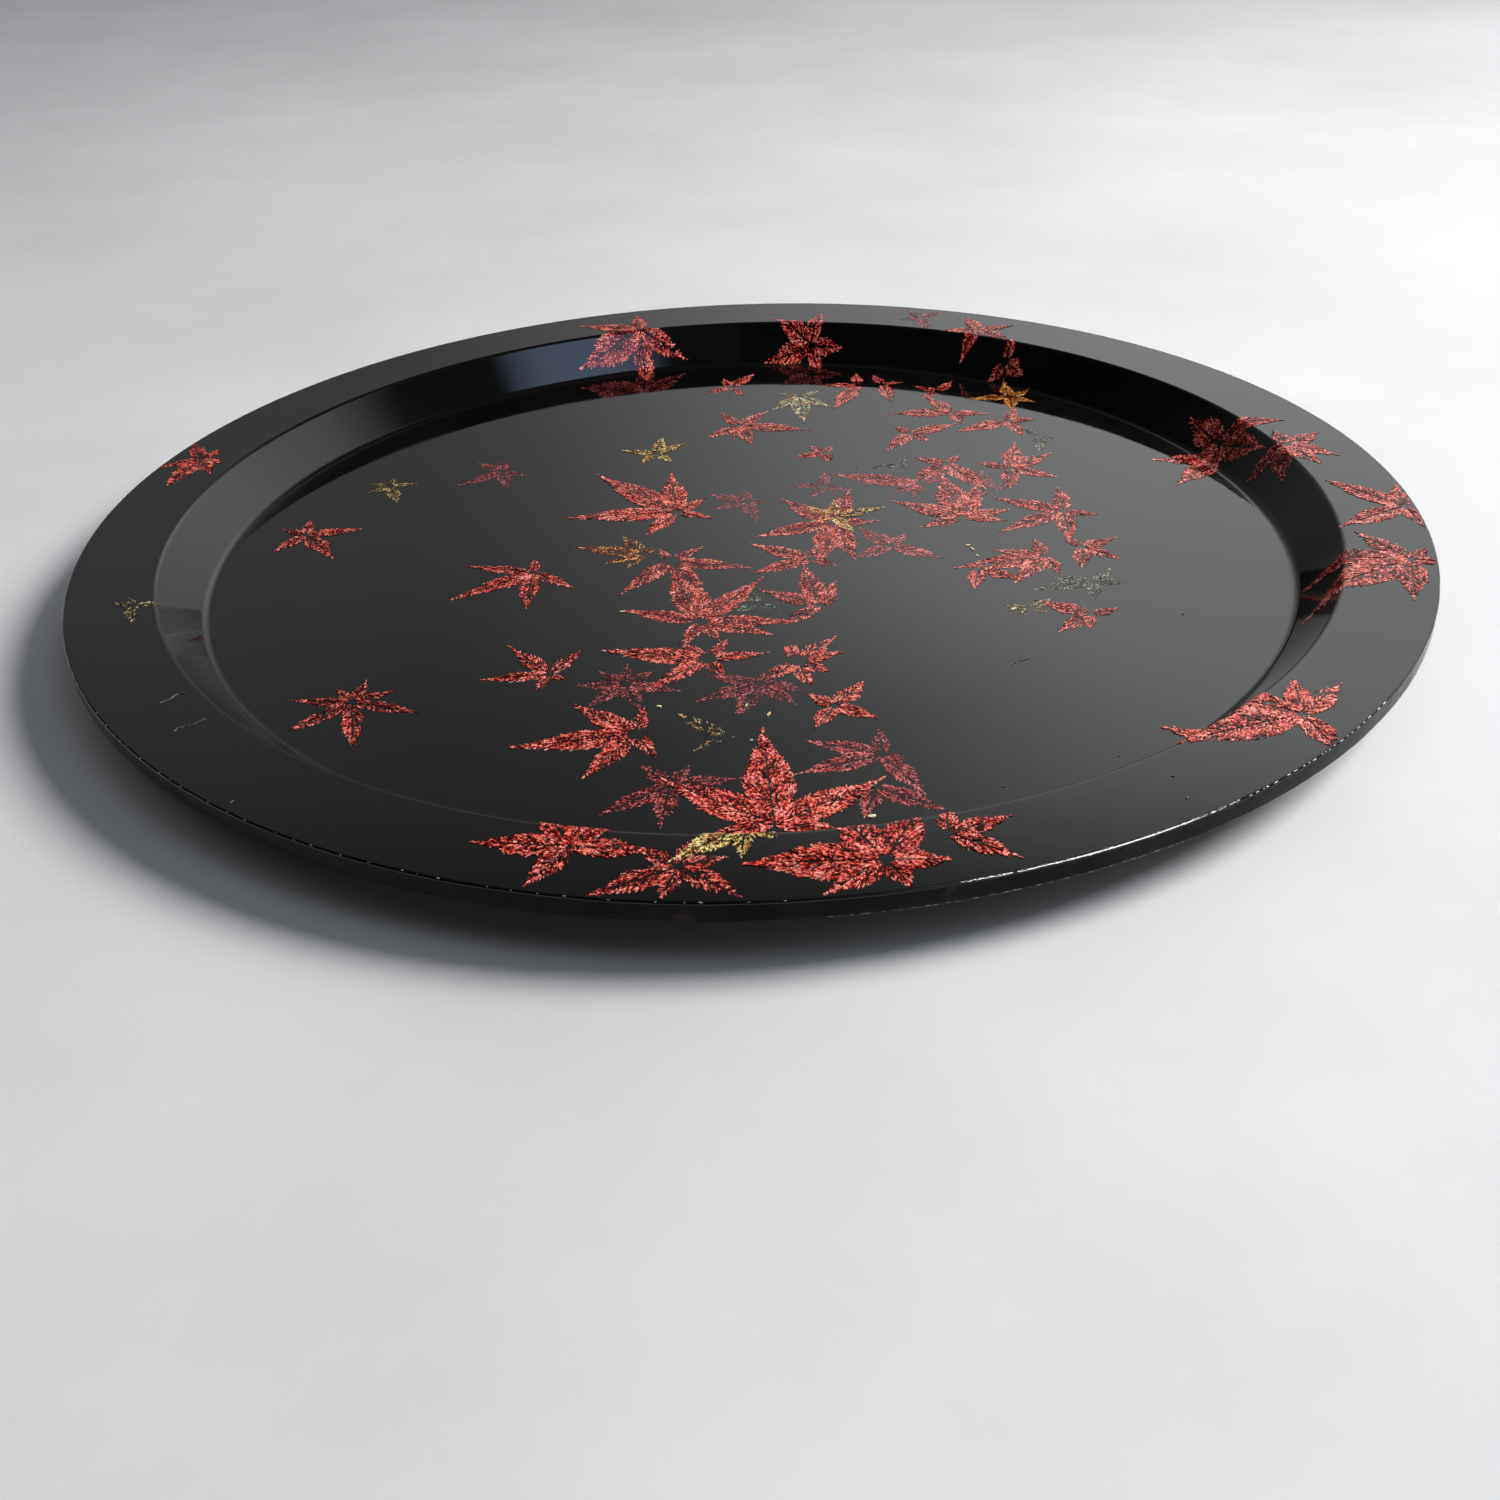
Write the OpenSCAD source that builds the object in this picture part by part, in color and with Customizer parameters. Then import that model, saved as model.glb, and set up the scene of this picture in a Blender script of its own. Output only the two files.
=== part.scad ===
// Round serving tray: pressed board with a flat rim, a sloping wall and a sunk floor,
// coated in black lacquer and decorated with printed maple leaves.
// The origin is the centre of the base, +Z is up and +Y points to the far side of the layout.

/* [Tray] */
// Overall diameter
tray_d = 420; // [360:5:460]
// Thickness of the tray, coatings included
tray_t = 5.4; // [4.4:0.2:7]
// Depth of the serving floor below the rim
well_depth = 14; // [10:1:20]

/* [Rim and wall] */
// Width of the flat rim
rim_w = 26; // [20:1:34]
// Horizontal run of the sloping wall
wall_run = 12; // [9:1:16]
// Radius where the rim turns down into the wall
crease_r = 2.4; // [1.8:0.2:3]
// Radius between the wall and the serving floor
corner_r = 4; // [3:0.5:7]
// Radius under the tray between the wall and the rim
under_rim_r = 3; // [2:0.5:5]
// Radius under the tray between the base and the wall
base_corner_r = 8; // [6:1:9]

/* [Coatings] */
// Thickness of the lacquer on the top and the underside
lacquer_t = 0.4; // [0.3:0.1:0.6]
// Thickness of the lacquer band round the outer edge
edge_t = 0.8; // [0.6:0.1:1.2]
// Radius of the two arrises of the outer edge
arris_r = 0.6; // [0.3:0.1:0.6]

/* [Leaf print] */
// Thickness of the printed ink
ink_t = 0.12; // [0.1:0.02:0.2]
// Breadth of a leaf lobe as a share of its length
lobe_breadth = 0.24; // [0.16:0.02:0.32]
// Breadth that every lobe has beyond that share
lobe_extra = 1; // [0.5:0.5:2]

/* [Hidden] */
$fn = 96;
layout_d = 420;                             // tray diameter that the leaf layout is drawn for
layout_scale = tray_d / layout_d;
tray_r = tray_d / 2;
floor_z = tray_t;                           // top of the serving floor
rim_z = floor_z + well_depth;               // top of the rim
crease_x = tray_r - rim_w;                  // where the rim and the wall would meet if sharp
corner_x = crease_x - wall_run;             // where the wall and the floor would meet if sharp
wall_angle = atan2(well_depth, wall_run);   // above the horizontal
wall_out = [sin(wall_angle), -cos(wall_angle)];         // from the wall's top face to its back
tangent_share = tan(wall_angle / 2);        // tangent length of a round, per unit of its radius
corner_c = [corner_x - corner_r * tangent_share, floor_z + corner_r];
crease_c = [crease_x + crease_r * tangent_share, rim_z - crease_r];
under_corner = [corner_x + tray_t * tangent_share, 0];  // sharp corner under the tray
under_crease = [crease_x + tray_t * tangent_share, rim_z - tray_t];
base_c = [under_corner[0] - base_corner_r * tangent_share, base_corner_r];
under_rim_c = [under_crease[0] + under_rim_r * tangent_share, rim_z - tray_t - under_rim_r];
band_x = tray_r - edge_t;                   // inner face of the edge band

// Each leaf: node, ink, stem point, share of the usual lobe breadth, and the tip of each lobe.
// Ink laid later lies over ink laid earlier, so the list runs from the first ink to the last.
LEAVES = [
    ["leaves_dim_centre", "crimson", [0, 33], 1, [[-14, 41], [0, 43], [8, 32], [3, 16], [-12, 27]]],
    ["leaves_dim_centre", "crimson", [27, 44], 1, [[14, 46], [28, 57], [22, 34], [36, 38]]],
    ["leaf_dim_right_centre", "crimson", [84, 36], 1, [[74, 56], [83, 54], [95, 41], [74, 27]]],
    ["leaf_dim_left", "crimson", [-88, 67], 1,
        [[-98, 76], [-102, 56], [-89, 78], [-79, 62], [-84, 51]]],
    ["leaves_dim_front", "crimson", [-36, -90], 1,
        [[-50, -90], [-46, -102], [-31, -105], [-20, -95], [-28, -83], [-36, -79], [-44, -82]]],
    ["leaves_dim_front", "crimson", [2, -92], 1,
        [[-16, -101], [-13, -87], [-5, -110], [12, -105], [15, -97], [7, -82]]],
    ["leaf_dim_middle", "crimson", [46, -6], 1.2,
        [[37, 9], [34, -15], [53, -11], [62, -17], [52, 3]]],
    ["leaf_dim_under_left", "crimson", [-22, -142], 1,
        [[-40, -155], [-24, -161], [-30, -132], [-17, -133], [-4, -140]]],
    ["leaves_dim_under_right", "crimson", [33, -131], 1,
        [[13, -123], [10, -139], [42, -150], [33, -118], [39, -134]]],
    ["leaves_dim_under_right", "crimson", [30, -146], 1.1, [[47, -158], [26, -160]]],
    ["leaf_red_front_rim", "scarlet", [-18, -196], 1.2,
        [[-38, -206], [-22, -208], [-4, -208], [-7, -193], [-28, -188], [-14, -185]]],
    ["leaf_dim_back_rim", "crimson", [75, 182], 1.2, [[66, 181], [71, 193], [83, 190], [76, 168]]],
    ["leaf_dim_right", "crimson", [61, 43], 1, [[30, 54], [41, 47], [50, 36], [57, 32], [72, 52]]],

    ["leaves_sage", "sage", [2, -44], 1, [[9, -48], [0, -35], [-5, -49]]],
    ["leaves_sage", "sage", [106, -37], 1,
        [[87, -41], [94, -33], [113, -28], [116, -38], [104, -49]]],
    ["leaves_sage", "sage", [109, 83], 1, [[105, 92], [107, 68], [114, 78]]],
    ["leaves_sage", "sage", [55, 61], 1, [[44, 57], [58, 68], [60, 56]]],
    ["leaves_olive", "olive", [-127, 57], 1,
        [[-134, 52], [-122, 42], [-127, 64], [-118, 59], [-134, 60]]],
    ["leaves_olive", "olive", [-181, -58], 1, [[-187, -56], [-173, -57], [-178, -70], [-184, -53]]],
    ["leaves_olive", "olive", [84, -53], 1, [[76, -50], [80, -58], [91, -47], [89, -56]]],
    ["leaves_olive", "olive", [-8, -120], 1, [[-16, -126], [-4, -121], [-12, -112], [-22, -106]]],
    ["leaf_amber_mid_left", "amber", [-34, -6], 1,
        [[-57, 1], [-42, 9], [-46, -12], [-39, -16], [-30, -1]]],
    ["leaf_pale_back", "straw", [22, 133], 1,
        [[11, 119], [34, 120], [23, 105], [14, 137], [30, 138]]],
    ["leaf_amber_back", "amber", [104, 124], 1.2,
        [[88, 124], [104, 139], [113, 118], [103, 110], [113, 131]]],

    ["leaf_red_heart", "scarlet", [28, 13], 1.1,
        [[12, 34], [2, 4], [23, -17], [34, -16], [44, 13], [36, 40]]],
    ["leaf_red_mid", "scarlet", [20, -14], 1, [[0, -1], [0, -23], [28, -20], [25, 0]]],
    ["leaf_red_mid_right", "scarlet", [21, -46], 1,
        [[17, -17], [27, -30], [2, -34], [9, -59], [27, -42]]],
    ["leaf_red_mid_left", "scarlet", [-25, -12], 1,
        [[-15, -2], [1, -19], [-40, -34], [-14, -37], [-29, -3]]],
    ["leaf_red_large", "scarlet", [-15, -54], 1,
        [[-25, -18], [-39, -45], [-15, -29], [4, -26], [13, -56], [7, -64], [-9, -67], [-20, -69]]],
    ["leaf_red_right_upper", "scarlet", [72, 60], 1, [[58, 45], [61, 67], [77, 67], [83, 36]]],
    ["leaf_red_right_centre", "scarlet", [72, 14], 1,
        [[69, 51], [50, 29], [57, 7], [86, 10], [89, 19], [80, 40]]],
    ["leaf_red_right_outer", "scarlet", [94, 54], 1,
        [[99, 77], [111, 67], [109, 44], [91, 36], [83, 60]]],
    ["leaf_red_right_edge", "scarlet", [106, 16], 1,
        [[84, 29], [82, 1], [108, 36], [104, -8], [117, 12]]],
    ["leaves_red_right_lower", "scarlet", [94, -18], 1,
        [[65, -24], [79, -12], [93, -5], [82, -36], [97, -31]]],
    ["leaves_red_right_lower", "scarlet", [107, -12], 1,
        [[104, -28], [119, -6], [118, -22], [103, -4]]],
    ["leaves_red_right_lower", "scarlet", [72, -25], 1, [[69, -39], [85, -34]]],
    ["leaves_red_right_lower", "scarlet", [101, -58], 1.1,
        [[87, -48], [90, -68], [110, -55], [99, -67]]],
    ["leaf_red_back_left", "scarlet", [-2, 104], 1,
        [[-9, 118], [9, 118], [-14, 92], [25, 97], [3, 84], [-4, 91]]],
    ["leaf_red_back_small", "scarlet", [29, 74], 1.2, [[18, 71], [24, 81], [32, 80], [30, 65]]],
    ["leaves_red_upper_right", "scarlet", [62, 90], 1, [[52, 74], [57, 98], [80, 98], [68, 81]]],
    ["leaves_red_upper_right", "scarlet", [80, 110], 1, [[56, 111], [72, 128], [93, 107], [82, 98]]],
    ["leaves_red_upper_right", "scarlet", [100, 99], 1, [[79, 90], [103, 84], [110, 100], [104, 112]]],
    ["leaves_red_back_floor", "scarlet", [-5, 146], 1, [[-8, 156], [5, 161], [0, 136], [-15, 140]]],
    ["leaves_red_back_floor", "scarlet", [46, 143], 1, [[35, 118], [31, 145], [46, 157]]],
    ["leaves_red_back_floor", "scarlet", [56, 143], 1, [[58, 123], [64, 145], [53, 154]]],
    ["leaves_red_back_floor", "scarlet", [77, 133], 1, [[70, 126], [84, 144], [68, 140]]],
    ["leaves_red_far_right", "scarlet", [97, 164], 1.2,
        [[82, 165], [94, 181], [111, 168], [107, 151], [88, 152]]],
    ["leaves_red_far_right", "scarlet", [105, 144], 1.3, [[98, 141], [109, 151], [111, 136]]],
    ["leaf_red_back_wall", "scarlet", [29, 175], 1.2,
        [[14, 188], [34, 192], [42, 172], [9, 172], [32, 163]]],
    ["leaf_red_far_left_rim", "scarlet", [-42, 180], 1.2,
        [[-67, 187], [-44, 198], [-23, 173], [-67, 162], [-39, 157]]],
    ["leaf_red_right_wall", "scarlet", [168, 55], 1.2,
        [[144, 57], [148, 34], [162, 76], [190, 55], [178, 37]]],
    ["leaf_red_right_rim", "scarlet", [184, 33], 1.3,
        [[198, 43], [198, 22], [183, 46], [190, 15], [170, 29], [178, 16]]],
    ["leaf_red_right_rim_edge", "scarlet", [205, -20], 1.1,
        [[187, 3], [208, -3], [181, -33], [206, -36], [196, -14]]],
    ["leaf_red_right_rim_lower", "scarlet", [194, -57], 1.2,
        [[186, -82], [204, -60], [184, -37], [163, -52], [158, -76], [201, -50]]],
    ["leaf_red_left", "scarlet", [-112, -95], 1,
        [[-129, -93], [-128, -111], [-107, -120], [-92, -102], [-101, -89], [-110, -83], [-118, -87]]],

    ["leaf_gold_centre", "gold", [29, 18], 1, [[30, 31], [46, 24], [20, 27], [35, 5], [21, 14]]],
    ["leaf_gold_back_left", "gold", [-33, 79], 1,
        [[-46, 83], [-31, 94], [-22, 88], [-38, 70], [-26, 70]]],

    ["leaf_bright_rim_left", "vermilion", [-191, 54], 1.1,
        [[-198, 69], [-197, 31], [-186, 62], [-182, 49], [-184, 40], [-203, 48]]],
    ["leaf_bright_far_left", "vermilion", [-149, 18], 1.1,
        [[-131, 21], [-136, -1], [-157, 5], [-158, 23], [-150, 30]]],
    ["leaf_bright_upper_left", "vermilion", [-24, 26], 1.1,
        [[-62, 24], [-53, 60], [-27, 60], [-34, 8], [-12, 20], [-14, 37]]],
    ["leaf_bright_left", "vermilion", [-69, -17], 1,
        [[-90, -11], [-93, -34], [-69, -42], [-55, -29], [-69, -7], [-76, -27]]],
    ["leaf_bright_mid_left", "vermilion", [-58, -83], 1,
        [[-71, -66], [-50, -70], [-77, -85], [-61, -92], [-53, -87]]],
    ["leaf_bright_centre", "vermilion", [-13, -77], 1.1,
        [[-44, -70], [-30, -78], [-29, -93], [-8, -89], [4, -75], [-7, -66], [-21, -67]]],
    ["leaf_bright_broken", "vermilion", [13, -80], 0.9,
        [[4, -91], [16, -96], [22, -88], [26, -76], [25, -66], [10, -68]]],
    ["leaf_bright_lower_left", "vermilion", [-32, -117], 1.1,
        [[-66, -122], [-45, -138], [-26, -129], [-28, -116], [-30, -103], [-44, -110], [-50, -100]]],
    ["leaf_bright_lower_right", "vermilion", [22, -106], 1,
        [[31, -93], [33, -113], [15, -99], [16, -117]]],
    ["leaf_bright_front", "vermilion", [4, -161], 1.35,
        [[2, -116], [-25, -139], [33, -142], [-14, -166], [22, -165]]],
    ["leaf_gold_front_rim", "gold", [-3, -181], 1.2,
        [[-20, -194], [-4, -194], [5, -187], [-18, -172], [6, -170]]],
    ["leaf_bright_rim_front_left", "vermilion", [-43, -187], 1.2,
        [[-66, -184], [-52, -202], [-24, -190], [-51, -168], [-32, -170]]],
    ["leaf_bright_rim_front", "vermilion", [28, -196], 1.2,
        [[-4, -196], [14, -208], [33, -207], [43, -197], [38, -176], [18, -176]]],
    ["leaf_bright_rim_front_right", "vermilion", [43, -187], 1.2, [[58, -197], [58, -181], [44, -176]]],
    ["leaf_bright_rim_right", "vermilion", [137, -141], 1.3,
        [[103, -152], [141, -160], [151, -127], [140, -123], [107, -122]]],
];
INKS = [
    ["crimson", [0.42, 0.11, 0.12]], ["scarlet", [0.72, 0.16, 0.13]],
    ["vermilion", [0.85, 0.22, 0.16]], ["gold", [0.80, 0.64, 0.22]],
    ["amber", [0.66, 0.36, 0.14]], ["olive", [0.48, 0.45, 0.20]],
    ["sage", [0.32, 0.38, 0.28]], ["straw", [0.66, 0.66, 0.36]],
];
LEAF_NODES = [for (i = [0:len(LEAVES) - 1]) if (i == 0 || LEAVES[i][0] != LEAVES[i - 1][0]) LEAVES[i][0]];

// Cross-section of everything below the top face, once that face is lowered by depth.
module below_top(depth) {
    wall_end = crease_c - wall_out * (crease_r - depth);
    rim_start = [crease_c[0], rim_z - depth];
    crease = [crease_x + depth * tangent_share, rim_z - depth];
    difference() {
        polygon([
            [0, -1], [0, floor_z - depth], [corner_c[0], floor_z - depth],
            corner_c + wall_out * (corner_r + depth), crease,
            [tray_r + 1, rim_z - depth], [tray_r + 1, -1],
        ]);
        translate(corner_c) circle(r = corner_r + depth);
        difference() {
            polygon([wall_end, crease, rim_start]);
            translate(crease_c) circle(r = crease_r - depth);
        }
    }
}

// Cross-section of everything above the underside, once that face is raised by depth.
module above_under(depth) {
    difference() {
        union() {
            polygon([
                [0, rim_z + 1], [0, depth], [base_c[0], depth],
                base_c + wall_out * (base_corner_r - depth),
                under_rim_c - wall_out * (under_rim_r + depth),
                [under_rim_c[0], rim_z - tray_t + depth], [tray_r + 1, rim_z - tray_t + depth],
                [tray_r + 1, rim_z + 1],
            ]);
            intersection() {
                translate(base_c) circle(r = base_corner_r - depth);
                translate([base_c[0] - 1, 0]) square([base_corner_r + 1, base_c[1]]);
            }
        }
        translate(under_rim_c) circle(r = under_rim_r + depth);
    }
}

// The part of a cross-section between two radii.
module between(inner, outer) {
    intersection() {
        children();
        translate([inner, -1]) square([outer - inner, rim_z + 3]);
    }
}

// Pressed wood-fibre board that carries every coating.
module core_board() {
    color([0.45, 0.32, 0.2])
        rotate_extrude()
            between(0, band_x)
                intersection() {
                    below_top(lacquer_t);
                    above_under(lacquer_t);
                }
}

// Glossy black coat over the rim, the wall and the serving floor.
module top_lacquer() {
    color([0.05, 0.05, 0.055])
        rotate_extrude()
            between(0, band_x)
                difference() {
                    below_top(0);
                    below_top(lacquer_t);
                }
}

// Flat disc of black coat that the tray stands on.
module base_lacquer() {
    color([0.07, 0.07, 0.075])
        cylinder(r = base_c[0], h = lacquer_t);
}

// Black coat under the wall and the rim.
module under_rim_lacquer() {
    color([0.07, 0.07, 0.075])
        rotate_extrude()
            between(base_c[0], band_x)
                difference() {
                    above_under(0);
                    above_under(lacquer_t);
                }
}

// Thicker coat round the outer edge, with both arrises rounded.
module edge_band() {
    color([0.06, 0.055, 0.05])
        rotate_extrude()
            union() {
                translate([band_x, rim_z - tray_t])
                    square([edge_t - arris_r, tray_t]);
                translate([band_x, rim_z - tray_t + arris_r])
                    square([edge_t, tray_t - 2 * arris_r]);
                between(band_x, tray_r)
                    for (z = [rim_z - tray_t + arris_r, rim_z - arris_r])
                        translate([tray_r - arris_r, z]) circle(r = arris_r);
            }
}

function lobe_outline(length, breadth) =
    let (half = [[0, 0.12], [0.3, 0.36], [0.55, 0.5], [0.8, 0.28], [1, 0], [0.8, -0.28],
        [0.55, -0.5], [0.3, -0.36], [0, -0.12]])
    [for (p = half) [p[0] * length, p[1] * breadth]];

// One pointed lobe of a leaf, from its stem point to its tip.
module lobe(stem, tip, fullness) {
    run = tip - stem;
    translate(stem)
        rotate(atan2(run[1], run[0]))
            polygon(lobe_outline(norm(run), (norm(run) * lobe_breadth + lobe_extra) * fullness));
}

// Upright column with the outline of one leaf.
module leaf_column(leaf) {
    linear_extrude(rim_z + 2)
        for (tip = leaf[4])
            lobe(leaf[2] * layout_scale, tip * layout_scale, leaf[3]);
}

function reach(leaf) = max([for (tip = leaf[4]) norm(tip - leaf[2])]);
function may_cross(a, b) = norm(a[2] - b[2]) < reach(a) + reach(b);

// Ink of one leaf, laid on the lacquer wherever no later leaf covers it.
module leaf_print(index) {
    leaf = LEAVES[index];
    color(INKS[search([leaf[1]], INKS)[0]][1])
        difference() {
            intersection() {
                rotate_extrude()
                    between(0, band_x)
                        difference() {
                            below_top(-ink_t);
                            below_top(0);
                        }
                leaf_column(leaf);
            }
            for (later = [index + 1:1:len(LEAVES) - 1])
                if (may_cross(leaf, LEAVES[later]))
                    leaf_column(LEAVES[later]);
        }
}

core_board();
top_lacquer();
base_lacquer();
under_rim_lacquer();
edge_band();
for (index = [0:len(LEAVES) - 1])
    leaf_print(index);
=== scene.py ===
"""Looks of the round serving tray: black lacquer printed with maple leaves, on a pale floor.

The tray's lengths are in millimetres, and new_piece() turns them into the frame's metres. The
floor, the lamps and the camera are in metres.
"""

import math
import random

import bpy
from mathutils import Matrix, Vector, noise


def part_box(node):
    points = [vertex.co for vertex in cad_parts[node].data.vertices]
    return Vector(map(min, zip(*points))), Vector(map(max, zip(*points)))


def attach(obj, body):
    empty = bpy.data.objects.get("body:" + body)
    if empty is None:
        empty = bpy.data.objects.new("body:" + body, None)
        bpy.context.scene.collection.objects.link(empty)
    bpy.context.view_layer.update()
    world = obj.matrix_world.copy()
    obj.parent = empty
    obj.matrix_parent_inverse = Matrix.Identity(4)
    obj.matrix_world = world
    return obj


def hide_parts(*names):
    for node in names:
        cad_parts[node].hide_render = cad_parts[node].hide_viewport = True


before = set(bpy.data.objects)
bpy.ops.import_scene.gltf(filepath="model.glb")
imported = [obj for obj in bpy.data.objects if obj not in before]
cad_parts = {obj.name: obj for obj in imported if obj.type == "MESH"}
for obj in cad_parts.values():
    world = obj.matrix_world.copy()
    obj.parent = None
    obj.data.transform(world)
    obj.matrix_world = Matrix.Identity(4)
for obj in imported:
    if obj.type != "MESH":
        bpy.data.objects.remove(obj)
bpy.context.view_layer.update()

# ---------------------------------------------------------------- sizes of the tray
MM = 0.001
edge_low, edge_high = (corner / MM for corner in map(Vector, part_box("edge_band")))
TRAY_R = edge_high.x
RIM_Z = edge_high.z
TRAY_T = edge_high.z - edge_low.z
FLOOR_Z = TRAY_T
LACQUER_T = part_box("base_lacquer")[1][2] / MM

# The nodes' boxes don't give these, so they repeat part.scad's.
RIM_W, WALL_RUN = 26.0, 12.0
CREASE_R, CORNER_R, UNDER_RIM_R, BASE_CORNER_R = 2.4, 4.0, 3.0, 8.0
EDGE_T, ARRIS_R = 0.8, 0.6

# Where the faces would meet if they were sharp, and the centres of the bends between them. A
# bend's centre lies TANGENT times its radius to the side of the sharp corner.
BAND_X = TRAY_R - EDGE_T
CREASE_X = TRAY_R - RIM_W
CORNER_X = CREASE_X - WALL_RUN
WALL_ANGLE = math.atan2(RIM_Z - FLOOR_Z, WALL_RUN)
TANGENT = math.tan(WALL_ANGLE / 2)
CORNER_C = (CORNER_X - CORNER_R * TANGENT, FLOOR_Z + CORNER_R)
CREASE_C = (CREASE_X + CREASE_R * TANGENT, RIM_Z - CREASE_R)
BASE_C = (CORNER_X + TRAY_T * TANGENT - BASE_CORNER_R * TANGENT, BASE_CORNER_R)
UNDER_RIM_C = (CREASE_X + (TRAY_T + UNDER_RIM_R) * TANGENT, RIM_Z - TRAY_T - UNDER_RIM_R)

# The centres of the edge's two arrises.
ARRIS_X = TRAY_R - ARRIS_R
SHOULDER_Z = RIM_Z - ARRIS_R
LOW_Z = RIM_Z - TRAY_T + ARRIS_R

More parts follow.
